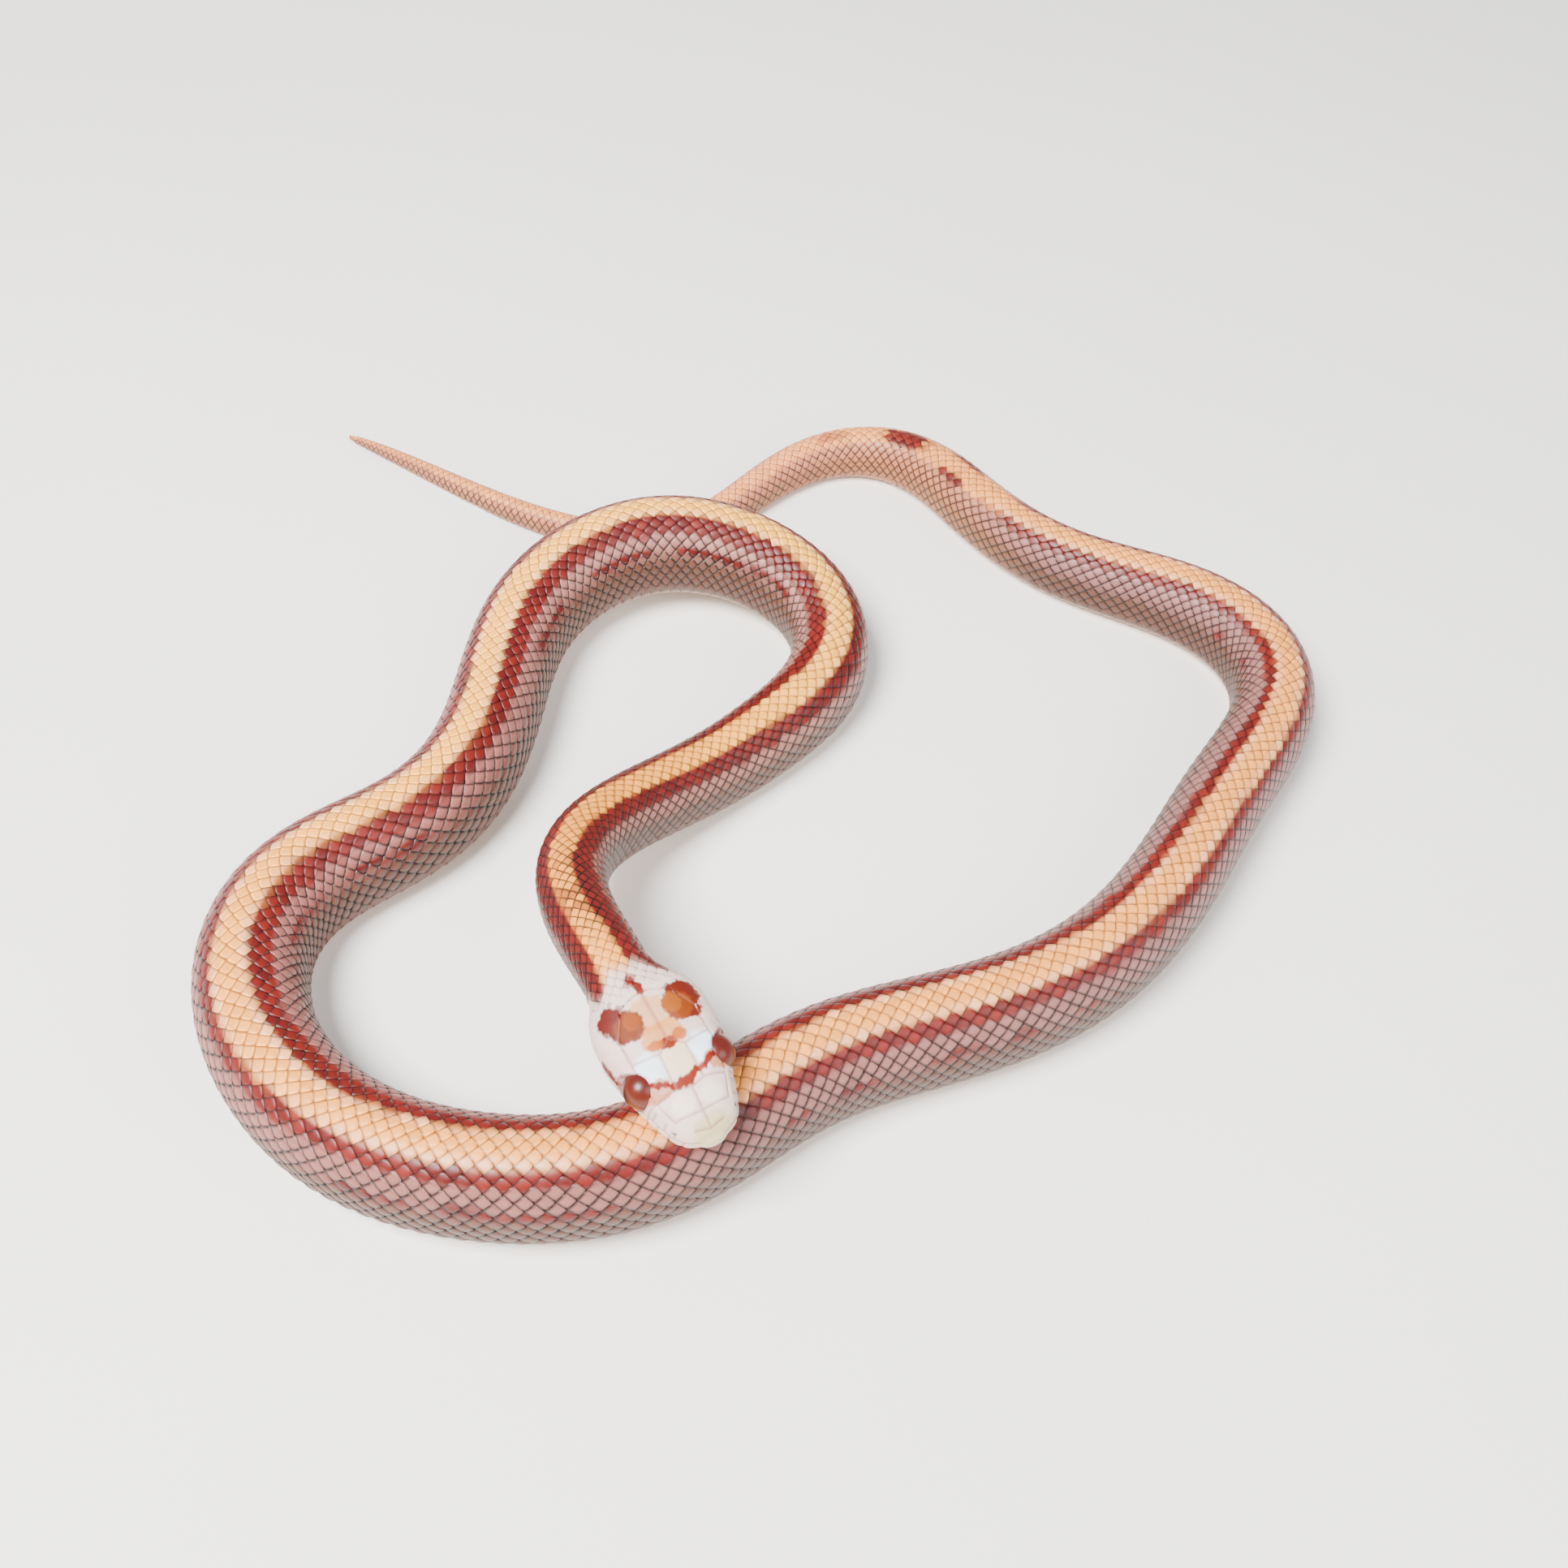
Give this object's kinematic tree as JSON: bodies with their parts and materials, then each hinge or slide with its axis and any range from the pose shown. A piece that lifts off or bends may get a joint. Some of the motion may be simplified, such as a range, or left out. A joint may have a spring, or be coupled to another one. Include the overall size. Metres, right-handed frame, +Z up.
{
  "type": "corn snake",
  "caption": "Life-size young corn snake lying in loose bends, its head resting on its own body.",
  "frame": {"origin": "middle of the bounding box, on the floor under the belly", "axes": "+Z up, the snout points roughly towards -Y, the tail lies at +Y"},
  "size_m": [0.1544, 0.1448, 0.0253],
  "materials": {
    "body": "satin scales",
    "head": "satin plates",
    "tail": "satin scales",
    "eye": "wet gloss"
  },
  "bodies": {
    "root": {"head": "head", "lower_jaw": "head", "eye_left": "eye", "eye_right": "eye", "neck": "body", "forebody_1": "body", "forebody_2": "body", "forebody_3": "body", "forebody_4": "body", "forebody_5": "body", "midbody_1": "body", "midbody_2": "body", "midbody_3": "body", "midbody_4": "body", "midbody_5": "body", "midbody_6": "body", "hindbody_1": "body", "hindbody_2": "body", "hindbody_3": "body", "hindbody_4": "body", "tail_base": "tail", "tail_middle": "tail", "tail_rear": "tail", "tail_tip": "tail"}
  },
  "joints": []
}
